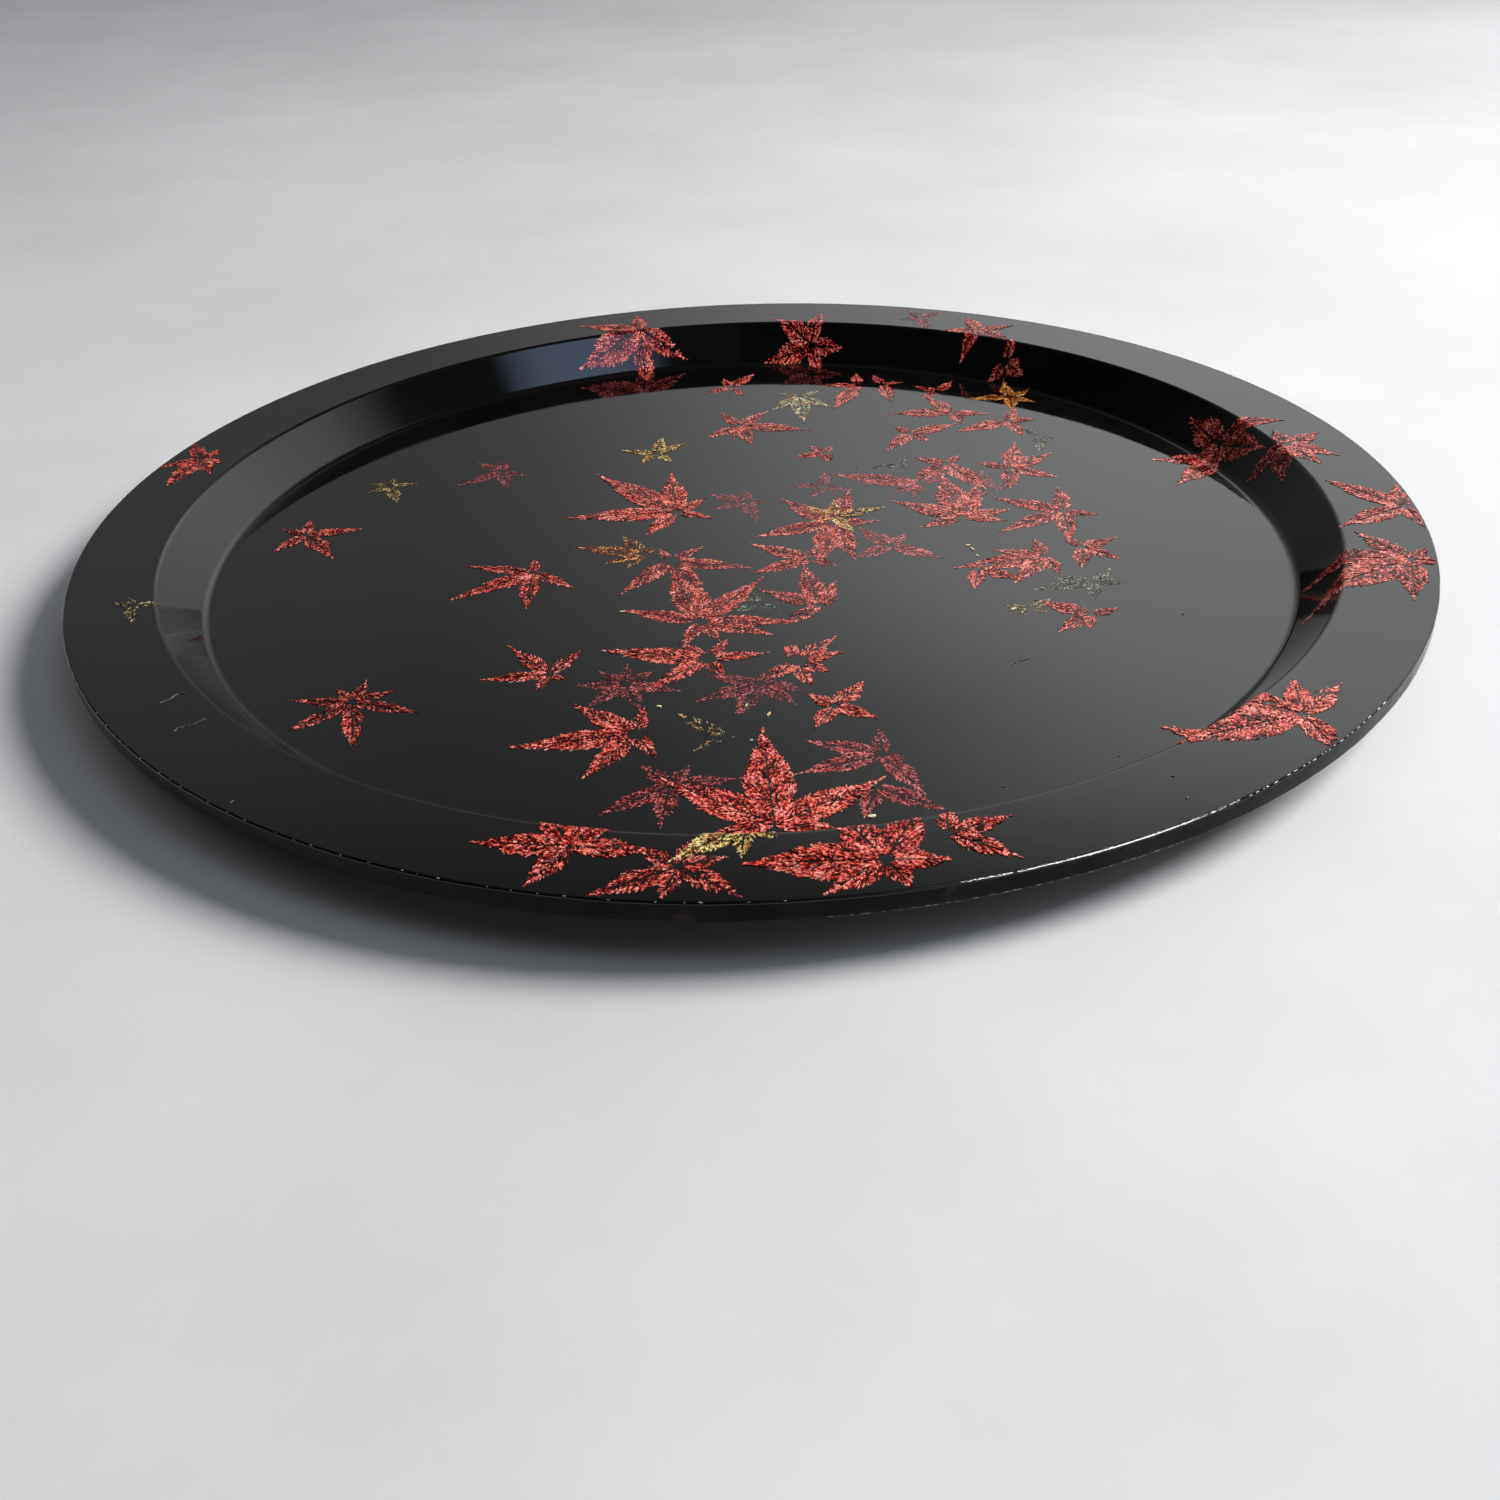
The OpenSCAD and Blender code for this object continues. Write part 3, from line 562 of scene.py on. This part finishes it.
# ---------------------------------------------------------------- board and coats
SEGMENTS = 512
BASE_R = BASE_C[0]
top_coat = top_face(0.0) + top_face(LACQUER_T)[::-1]
base_coat = [(0.0, LACQUER_T), (BASE_R, LACQUER_T), (BASE_R, 0.0), (0.0, 0.0)]
under_rim_coat = under_face(LACQUER_T) + under_face(0.0)[::-1]
board = top_face(LACQUER_T) + under_face(LACQUER_T)[::-1] + [(0.0, LACQUER_T)]

# Each turned piece: name, profile, material, CAD node and slot.
TURNED_PIECES = (
    ("top_coat", top_coat, black, "top_lacquer", "black_lacquer"),
    ("base_coat", base_coat, under_black, "base_lacquer", "black_lacquer"),
    ("under_rim_coat", under_rim_coat, under_black, "under_rim_lacquer", "black_lacquer"),
    ("board", board, board_material(), "core_board", "fibre_board"),
)
for name, profile, material, node, slot in TURNED_PIECES:
    vertices, faces = revolve(profile, SEGMENTS)
    new_piece(name, vertices, faces, material, (node,))

# ---------------------------------------------------------------- the worn outer edge, and painted highlight on its arrises
EDGE_SEGMENTS = 1536
EDGE_SHARP = 60.0  # its arrises stay soft
SIDE_SHARES = (1.0, 0.75, 0.5, 0.25)
RIPPLE_R = 210.0  # where the noise of the ripples is read
RIPPLE_START, RIPPLE_FADE = 0.05, 0.6  # distance out to where they start, share to full height
RIPPLE_MEAN = 0.08
RIPPLES = ((9, 4, 0.08), (1.7, 1.2, 0.05))  # wave round the edge, wave up it, and height


def drift(x, y, length, layer):
    """Smooth noise in waves of a length in mm over the tray, with other values in each layer."""
    return noise.noise(Vector((x / length, y / length, layer)))


def arris_section():
    """Rounded top arris of the edge, from its inner top corner round to the inner bottom."""
    top = arc((ARRIS_X, SHOULDER_Z), ARRIS_R, UP, 0.0, ARRIS_STEPS)
    return [(BAND_X, RIM_Z)] + top + [(BAND_X, SHOULDER_Z)]


def edge_section():
    """Outer edge below the top arris, with its lower arris rounded."""
    bottom = arc((ARRIS_X, LOW_Z), ARRIS_R, 0.0, DOWN, ARRIS_STEPS)
    side = [(TRAY_R, LOW_Z + (SHOULDER_Z - LOW_Z) * share) for share in SIDE_SHARES]
    return [(BAND_X, SHOULDER_Z)] + side + bottom + [(BAND_X, RIM_Z - TRAY_T)]


def edge_wobble(angle, r, z):
    """The edge was coated by hand, so its outer face ripples by about a tenth of a millimetre."""
    if r < ARRIS_X + RIPPLE_START:
        return 0.0
    x, y = RIPPLE_R * math.cos(angle), RIPPLE_R * math.sin(angle)
    depth = RIPPLE_MEAN
    for length, rise, height in RIPPLES:
        depth += height * drift(x, y, length, z / rise)
    return -min(1.0, (r - ARRIS_X) / (RIPPLE_FADE * ARRIS_R)) * depth


EDGE_PIECES = (
    ("edge_arris", arris_section(), arris_black),
    ("edge_side", edge_section(), edge_material()),
)
for name, profile, material in EDGE_PIECES:
    vertices, faces = revolve(profile, EDGE_SEGMENTS, edge_wobble)
    new_piece(name, vertices, faces, material, ("edge_band",), EDGE_SHARP)

# Stretches of pale slivers on the edge's arrises, partly worn spots and partly painted highlight:
# name, height of the arris' centre, its angle up from level, first and last direction from +X in
# degrees, share of the stretch that the slivers cover, breadth in mm.
WORN_AND_HIGHLIGHT_STRETCHES = (
    ("wear_and_highlight_front_right", SHOULDER_Z, 56, -78, -58, 0.95, 0.36),
    ("wear_and_highlight_right", SHOULDER_Z, 52, -57, -40, 0.40, 0.15),
    ("wear_and_highlight_front_left", SHOULDER_Z, 55, -176, -88, 0.10, 0.10),
    ("wear_and_highlight_lower", LOW_Z, -20, -86, -62, 0.45, 0.10),
)
WEAR_AND_HIGHLIGHT_SEED = 7
SLIVER_PROUD, SLIVER_SUNK = 0.02, 0.12
SLIVER_LENGTH, SLIVER_STRETCH = (0.4, 1.0), 7.0  # usual length, and how much wear adds
SLIVER_STEP, SLIVER_END = 0.4, 0.25
SLIVER_TURN = 8  # in degrees


def worn_and_highlight_stretch(name, centre_z, lean, first, last, share, breadth, material, seed):
    """Slivers along an arris, set into the coat and a hair proud of it: worn spots and painted
    highlight.
    """
    rng = random.Random(seed)
    vertices, faces = [], []
    per_mm = 1 / TRAY_R
    at, end = math.radians(first), math.radians(last)
    while at < end:
        length = rng.uniform(*SLIVER_LENGTH) * (1.0 + SLIVER_STRETCH * share * share * rng.random())
        steps = max(2, math.ceil(length / SLIVER_STEP))
        centre_lean = math.radians(lean + rng.uniform(-SLIVER_TURN, SLIVER_TURN))
        base = len(vertices)
        for i in range(steps + 1):
            angle = at + length * per_mm * i / steps
            taper = 1.0 if 0 < i < steps else SLIVER_END
            half = 0.5 * breadth / ARRIS_R * taper * rng.uniform(0.6, 1.3)
            dent = edge_wobble(angle, TRAY_R, centre_z + ARRIS_R * math.sin(centre_lean))
            outer, inner = ARRIS_R + SLIVER_PROUD, ARRIS_R - SLIVER_SUNK
            for turn, r in ((half, outer), (-half, outer), (-half, inner), (half, inner)):
                out = ARRIS_X + r * math.cos(centre_lean + turn) + dent
                z = centre_z + r * math.sin(centre_lean + turn)
                vertices.append((out * math.cos(angle), out * math.sin(angle), z))
        for i in range(steps):
            a = base + 4 * i
            for k in range(4):
                n = (k + 1) % 4
                faces.append((a + k, a + 4 + k, a + 4 + n, a + n))
        last_ring = base + 4 * steps
        faces.append((base, base + 1, base + 2, base + 3))
        faces.append((last_ring + 3, last_ring + 2, last_ring + 1, last_ring))
        at += length * per_mm / share * rng.uniform(0.7, 1.3)
    new_piece(name, vertices, faces, material, ())


# Slivers of worn coat and of painted highlight on the arrises.
worn = wear_and_highlight_material()
for number, stretch in enumerate(WORN_AND_HIGHLIGHT_STRETCHES):
    worn_and_highlight_stretch(*stretch, material=worn, seed=WEAR_AND_HIGHLIGHT_SEED + number)

# ---------------------------------------------------------------- printed leaves
# Breadth of a lobe at shares of its length, as a share of its greatest breadth.
LOBE_OUTLINE = (
    (0.0, 0.40),
    (0.14, 0.66),
    (0.30, 0.94),
    (0.42, 1.0),
    (0.56, 0.84),
    (0.68, 0.54),
    (0.80, 0.26),
    (1.0, 0.06),
)
MIDRIB = 0.22  # half breadth of the bare midrib
INK_LIMIT_R = 208.9  # the ink stops short of the edge's arris
INK_FOOT = -0.02  # height of the ink's underside over the coat
RIDGE = 0.1  # a stroke's sides are lighter by this, and its middle is darker
SECTION_GAP = 0.55  # distance between the cross-sections of a stroke
WANDER = 0.12  # sideways wander of a stroke's middle
RAGGED = (0.65, 1.25)  # range of a stroke's breadth, as shares of its own
TAPER = 2.5  # how fast a stroke widens from its ends
SPECKLE = 0.1  # how much tone varies within a stroke

# Where ink is missing: size of the patches, how much they count, and how much chance does.
PATCH_SIZE, PATCH_WEIGHT, PATCH_CHANCE = 3.1, 0.55, 0.22
PATCH_LAYER = 1.7
# Changes in tone over a leaf: their size, their strength, and the part that is chance.
TONE_SIZE, TONE_WEIGHT, TONE_CHANCE = 4.5, 0.45, 0.28
TONE_LAYER, TONE_PIVOT = 40, 0.4

VEIN_LEAN = (25, 34)  # lean of the side veins from the midrib, in degrees
VEIN_GAP = (0.75, 1.25)  # range of the gaps between them, as shares of the usual gap
VEINS_END = 0.86  # share of a lobe's length where the last one starts
SHORTEST_ROW, REACH_STEP = 0.4, 0.15
ROW_SHIFTS = (-0.25, 0.25)  # two rows of crumbs to a gap
CRUMB_RANGE = (0.4, 1.7)  # range of a crumb's length, as shares of the style's
CRUMB_GAP = (-0.1, 0.25)
TOOTH = (-0.5, 0.8)  # how far a row ends inside or outside the lobe's outline
TIP_START, TIP_END = 0.76, 0.98  # a lobe's thin tip, as shares of its length
TIP_PART = (0.04, 0.09)  # range of its crumbs' lengths, as shares of the lobe's


def lobe_half(share, breadth):
    """Half breadth of a lobe at a share of its length."""
    for (a, wa), (b, wb) in zip(LOBE_OUTLINE, LOBE_OUTLINE[1:]):
        if share <= b:
            return 0.5 * breadth * (wa + (wb - wa) * max(0.0, share - a) / (b - a))
    return 0.0


class Print:
    """Collects strokes of ink as closed prisms that follow the tray's surface."""

    def __init__(self, lift, seed):
        self.vertices, self.faces, self.tones = [], [], []
        self.lift = lift
        self.rng = random.Random(seed)
        self.seed = seed

    def vary(self, most):
        """A random amount, up to most either way."""
        return self.rng.uniform(-most, most)

    def stroke(self, start, direction, length, width, tone, ends=(0.3, 0.3)):
        """One crumb of ink: a ragged ladder of cross-sections, darker along its middle."""
        sections = max(2, math.ceil(length / SECTION_GAP)) + 1
        side = Vector((-direction.y, direction.x))
        top, bottom, tones = [], [], []
        for i in range(sections):
            share = i / (sections - 1)
            taper = min(1.0, ends[0] + TAPER * share, ends[1] + TAPER * (1 - share))
            middle = start + direction * (length * share) + side * self.vary(WANDER)
            for sign in (1, 0, -1):
                p = middle + side * (sign * 0.5 * width * taper * self.rng.uniform(*RAGGED))
                r = p.length
                if r > INK_LIMIT_R:
                    p = p * (INK_LIMIT_R / r)
                top.append(surface(p.x, p.y, self.lift))
                tones.append(tone + (RIDGE if sign else -RIDGE) + self.vary(SPECKLE))
                if sign:
                    bottom.append(surface(p.x, p.y, INK_FOOT))
        first = len(self.vertices)
        under = first + len(top)
        self.vertices += top + bottom
        self.tones += [min(1.0, max(0.0, t)) for t in tones] + [tone] * len(bottom)
        for i in range(sections - 1):
            a, b = first + 3 * i, under + 2 * i
            self.faces += [(a, a + 1, a + 4, a + 3), (a + 1, a + 2, a + 5, a + 4)]
            self.faces += [(b + 2, b + 3, b + 1, b)]
            self.faces += [(a, a + 3, b + 2, b), (a + 5, a + 2, b + 1, b + 3)]
        a, b = first + 3 * (sections - 1), under + 2 * (sections - 1)
        self.faces += [(first + 2, first + 1, first, under, under + 1)]
        self.faces += [(a, a + 1, a + 2, b + 1, b)]

    def kept(self, point, keep):
        """Ink is missing in patches where the print didn't take."""
        patch = drift(point.x, point.y, PATCH_SIZE, self.seed * PATCH_LAYER)
        return 0.5 + PATCH_WEIGHT * patch + self.vary(PATCH_CHANCE) < 0.28 + 0.72 * keep

    def tone(self, point, style, margin):
        """Tone at a point; margin runs from 0 at the midrib to 1 at the lobe's margin."""
        change = TONE_WEIGHT * drift(point.x, point.y, TONE_SIZE, TONE_LAYER + self.seed)
        tone = style.tone + style.edge * (margin**2 - TONE_PIVOT) + change
        return tone + self.vary(TONE_CHANCE)

    def ink_row(self, origin, direction, start, reach, width, style):
        """A row of crumbs from the midrib out to the margin, where they end in teeth."""
        rng = self.rng
        side = Vector((-direction.y, direction.x))
        at = start + rng.uniform(0.0, 0.3)
        while at < reach - 0.25:
            crumb = min(style.crumb * rng.uniform(*CRUMB_RANGE), reach - at)
            outer = reach - at - crumb < 0.5
            if outer:
                crumb = max(0.4, reach - at + rng.uniform(*TOOTH))
            middle = origin + direction * (at + crumb / 2)
            if self.kept(middle, style.keep):
                tone = self.tone(middle, style, min(1.0, (at + crumb / 2) / reach))
                ends = (0.35, 0.1 if outer else 0.35)
                bend = direction + side * self.vary(0.16)
                base = origin + direction * at + side * (width * self.vary(0.15))
                breadth = width * rng.uniform(0.8, 1.3)
                self.stroke(base, bend.normalized(), crumb, breadth, tone, ends)
            at += crumb + rng.uniform(*CRUMB_GAP)

    def vein_reach(self, at, start, lean, length, breadth):
        """How far a side vein runs before it meets the lobe's outline."""
        reach = start
        while reach < length:
            share = (at + reach * math.cos(lean)) / length
            if MIDRIB + reach * math.sin(lean) > lobe_half(share, breadth):
                break
            reach += REACH_STEP
        return reach

    def side_veins(self, stem, run, side, breadth, style):
        """The ink between the side veins, on one side of a lobe's bare midrib."""
        rng = self.rng
        length = run.length
        along = run / length
        across = Vector((-along.y, along.x))
        step = min(style.step, max(0.9, length / 11))
        lean = math.radians(rng.uniform(*VEIN_LEAN))
        direction = along * math.cos(lean) + across * (side * math.sin(lean))
        at = -0.3 * breadth / math.tan(lean) + rng.uniform(0.0, 0.5)
        while at < VEINS_END * length:
            start = max(0.0, (style.hollow - at) / math.cos(lean))
            reach = self.vein_reach(at, start, lean, length, breadth)
            origin = stem + along * at + across * (side * MIDRIB)
            gap = step * rng.uniform(*VEIN_GAP)
            width = gap * math.sin(lean) * style.fill
            if reach > start + SHORTEST_ROW:
                for shift in ROW_SHIFTS:
                    row = origin + along * (shift * gap)
                    self.ink_row(row, direction, start, reach, width / 2, style)
            at += gap

    def thin_tip(self, stem, run, breadth, style):
        """The last crumbs, one after another along the midrib."""
        rng = self.rng
        length = run.length
        along = run / length
        across = Vector((-along.y, along.x))
        share = TIP_START
        while share < TIP_END:
            part = rng.uniform(*TIP_PART)
            point = stem + run * share
            if self.kept(point, style.keep):
                tone = self.tone(point, style, 0.9)
                width = max(0.3, 1.4 * lobe_half(share + part / 2, breadth))
                bend = along + across * self.vary(0.2)
                self.stroke(point, bend.normalized(), length * part, width, tone)
            share += part + rng.uniform(0.0, 0.02)

    def lobe(self, stem, tip, fullness, style):
        """One lobe, from its stem point to its tip."""
        run = tip - stem
        breadth = (run.length * 0.24 + 1.0) * fullness * style.broad
        for side in (1, -1):
            self.side_veins(stem, run, side, breadth, style)
        self.thin_tip(stem, run, breadth, style)


# Later leaves lie a little higher, and so do a leaf's later lobes, so that no two faces coincide.
INK_LIFT, LEAF_LAYER, LOBE_LAYER = 0.03, 0.003, 0.0004
LEAF_SEED = 100
ink_materials = {ink: ink_material(ink) for ink in INKS}
prints_so_far = {}
for index, (node, ink, stem, fullness, tips) in enumerate(LEAVES):
    prints_so_far[node] = prints_so_far.get(node, 0) + 1
    name = "%s_print_%d" % (node, prints_so_far[node])
    style = LEAF_STYLES.get(name) or LEAF_STYLES.get(node) or INK_STYLES[ink]
    lift = INK_LIFT + LEAF_LAYER * index
    leaf = Print(lift, LEAF_SEED + index)
    for number, tip in enumerate(tips):
        leaf.lift = lift + LOBE_LAYER * number
        leaf.lobe(Vector(stem), Vector(tip), fullness, style)
    piece = new_piece(name, leaf.vertices, leaf.faces, ink_materials[ink], (node,))
    set_tones(piece, leaf.tones)

# ---------------------------------------------------------------- flecks, scratches and dust
# Each mark: place, direction in degrees, length and width.
FLECKS = (
    ((71, -8), 20, 1.6, 0.7),
    ((72, -11), -60, 2.2, 0.6),
    ((73, -16), -70, 2.0, 0.5),
    ((-26, -103), 5, 1.4, 0.7),
    ((28, -159), 10, 2.2, 1.0),
    ((-20, -108), 30, 1.2, 0.5),
    ((-2, -104), 70, 1.5, 0.6),
    ((4, -109), 60, 1.8, 0.6),
    ((-1, -122), 20, 0.9, 0.6),
    ((79, -53), 30, 2.2, 0.8),
    ((-39, -46), 0, 1.6, 0.6),
    ((-36, -47), 0, 1.4, 0.5),
)
SCRATCHES = (
    ((-155.2, -114.8), 38, 3.0, 0.14),
    ((-153.6, -112.4), 62, 2.6, 0.12),
    ((-151.6, -111.2), -20, 1.8, 0.12),
    ((-148.3, -129.8), 80, 2.2, 0.14),
    ((-146.6, -128.4), 30, 3.2, 0.12),
    ((-143.2, -126.0), 42, 3.4, 0.14),
    ((73.7, -86.0), 35, 2.6, 0.10),
    ((77.2, -84.0), 20, 3.0, 0.10),
    ((61.8, -148.0), 10, 0.8, 0.40),
    ((93.5, -135.6), 60, 0.7, 0.40),
    ((98.6, -166.7), -30, 0.8, 0.30),
    ((99.7, -176.1), 15, 1.0, 0.30),
    ((-125.3, -164.0), 50, 1.2, 0.20),
    ((128.0, -60.0), 10, 0.7, 0.35),
    ((40.0, 60.0), 40, 0.7, 0.30),
)
MARK_LIFT, MARK_SEED = 0.26, 99
FLECK_TONE = 0.95


def marks(rows, tone=0.0):
    """Small strokes that lie on the lacquer."""
    strokes = Print(MARK_LIFT, MARK_SEED)
    for place, turn, length, width in rows:
        direction = Vector((math.cos(math.radians(turn)), math.sin(math.radians(turn))))
        strokes.stroke(Vector(place) - direction * (length / 2), direction, length, width, tone)
    return strokes


flecks = marks(FLECKS, FLECK_TONE)
straw = ink_materials["straw"]
piece = new_piece("ink_flecks", flecks.vertices, flecks.faces, straw, ())
set_tones(piece, flecks.tones)
dust = marks(SCRATCHES)
new_piece("scratches", dust.vertices, dust.faces, scratch_material(), ())

# ---------------------------------------------------------------- floor, light and camera, in m
FLOOR_HALF = 6
CORNERS = ((-1, -1), (1, -1), (1, 1), (-1, 1))
floor_mesh = bpy.data.meshes.new("floor")
floor_points = [(x * FLOOR_HALF, y * FLOOR_HALF, 0) for x, y in CORNERS]
floor_mesh.from_pydata(floor_points, [], [(0, 1, 2, 3)])
floor_mesh.materials.append(floor_material())
floor = bpy.data.objects.new("floor", floor_mesh)
bpy.context.scene.collection.objects.link(floor)

# The studio round the tray. Azimuths are in degrees from the far side (+Y) towards the right (+X),
# and heights are sines of the angle above the horizon. Pairs are where a change starts and ends.
WINDOW_LEFT, WINDOW_RIGHT, WINDOW_TOP = (-14.0, 16.0), (60.0, 82.0), (0.40, 0.64)
WINDOW_SLOPE = 0.0035  # how much the window's top rises per degree towards the right
WINDOW_POWER = 1.1
WALL_FADE = (math.sin(math.radians(24)), math.sin(math.radians(50)))
WALL_POWER = (0.26, 0.05)  # below the fade and above it
LEFT_WALL, LEFT_SHARE = (-56.0, -20.0), 0.2
HORIZON, HORIZON_SHARE = (0.035, 0.5), 0.35
GLOW_AZIMUTH, GLOW_HEIGHT = 128.0, 58.0  # both in degrees
GLOW_RADIUS = 0.26  # in radians
GLOW_POWER, GLOW_COLOUR = 2.4, (0.53, 0.68, 1.0)


def sky():
    """A sloping window to the far right, a dim wall round the rest, and a small blue glow."""
    world = bpy.data.worlds.new("studio")
    bpy.context.scene.world = world
    world.use_nodes = True
    g = Graph(world.node_tree)
    split = g.add("ShaderNodeSeparateXYZ")
    g.links.new(g.add("ShaderNodeTexCoord").outputs["Generated"], split.inputs["Vector"])
    x, y, height = split.outputs

    def smooth(value, span, new_span):
        return g.spread(value, span, new_span, interpolation_type="SMOOTHSTEP")

    def product(first, *others):
        for other in others:
            first = g.calc("MULTIPLY", first, other)
        return first

    def nearness(azimuth, angle):
        """Cosine of the angle between the sky's direction and a given one, in degrees."""
        azimuth, angle = math.radians(azimuth), math.radians(angle)
        along_x = product(x, math.sin(azimuth) * math.cos(angle))
        along_y = product(y, math.cos(azimuth) * math.cos(angle))
        flat = g.calc("ADD", along_x, along_y)
        return g.calc("ADD", flat, product(height, math.sin(angle)))

    azimuth = product(g.calc("ARCTAN2", x, y), 180 / math.pi)
    left_side = smooth(azimuth, WINDOW_LEFT, (0.0, 1.0))
    right_side = smooth(azimuth, WINDOW_RIGHT, (1.0, 0.0))
    sloped = g.calc("SUBTRACT", height, product(azimuth, WINDOW_SLOPE))
    top_side = smooth(sloped, WINDOW_TOP, (1.0, 0.0))
    low_side = smooth(height, HORIZON, (HORIZON_SHARE, 1.0))
    wall = smooth(height, WALL_FADE, WALL_POWER)
    dark_left = smooth(azimuth, LEFT_WALL, (LEFT_SHARE, 1.0))
    window = product(left_side, right_side, top_side, low_side, WINDOW_POWER)
    room = product(wall, dark_left, low_side)
    facing = nearness(GLOW_AZIMUTH, GLOW_HEIGHT)
    glow = smooth(facing, (math.cos(GLOW_RADIUS), 1.0), (0.0, GLOW_POWER))

    white_light = g.nodes["Background"]
    white_light.inputs["Color"].default_value = (1.0, 1.0, 1.0, 1.0)
    g.links.new(g.calc("ADD", window, room), white_light.inputs["Strength"])
    blue_light = g.add("ShaderNodeBackground")
    blue_light.inputs["Color"].default_value = (*GLOW_COLOUR, 1.0)
    g.links.new(glow, blue_light.inputs["Strength"])
    both = g.add("ShaderNodeAddShader")
    g.links.new(white_light.outputs[0], both.inputs[0])
    g.links.new(blue_light.outputs[0], both.inputs[1])
    g.links.new(both.outputs[0], g.nodes["World Output"].inputs["Surface"])


sky()


def area_light(name, location, target, size, power, diffuse=True, glossy=True):
    """A round lamp aimed at a target. It can be kept out of matt surfaces or reflections."""
    data = bpy.data.lights.new(name, "AREA")
    data.shape = "DISK"
    data.size = size
    data.energy = power
    lamp = bpy.data.objects.new(name, data)
    lamp.location = location
    lamp.rotation_euler = (Vector(target) - Vector(location)).to_track_quat("-Z", "Y").to_euler()
    lamp.visible_diffuse = diffuse
    lamp.visible_glossy = glossy
    bpy.context.scene.collection.objects.link(lamp)


MIDDLE = (0.0, 0.0, 0.0)
FRONT_RIGHT_RIM = (0.08, -0.19, 0.02)
area_light("key", (1.40, 0.10, 1.28), MIDDLE, 0.90, 51.0, glossy=False)
area_light("fill", (-0.6, -0.2, 1.6), MIDDLE, 1.6, 2.5, glossy=False)
area_light("glint", (0.80, -0.56, 0.70), FRONT_RIGHT_RIM, 0.50, 26.0, diffuse=False)

CAMERA_PLACE = (0.0, -0.4897, 0.2359)
CAMERA_TURN = (57.563, 1.763, -0.895)  # in degrees
camera_data = bpy.data.cameras.new("camera")
camera_data.lens = 39.34
camera_data.sensor_width = 36.0
camera = bpy.data.objects.new("camera", camera_data)
camera.location = CAMERA_PLACE
camera.rotation_euler = tuple(math.radians(a) for a in CAMERA_TURN)
bpy.context.scene.collection.objects.link(camera)
bpy.context.scene.camera = camera
bpy.context.scene.view_settings.view_transform = "Standard"

bpy.context.view_layer.update()
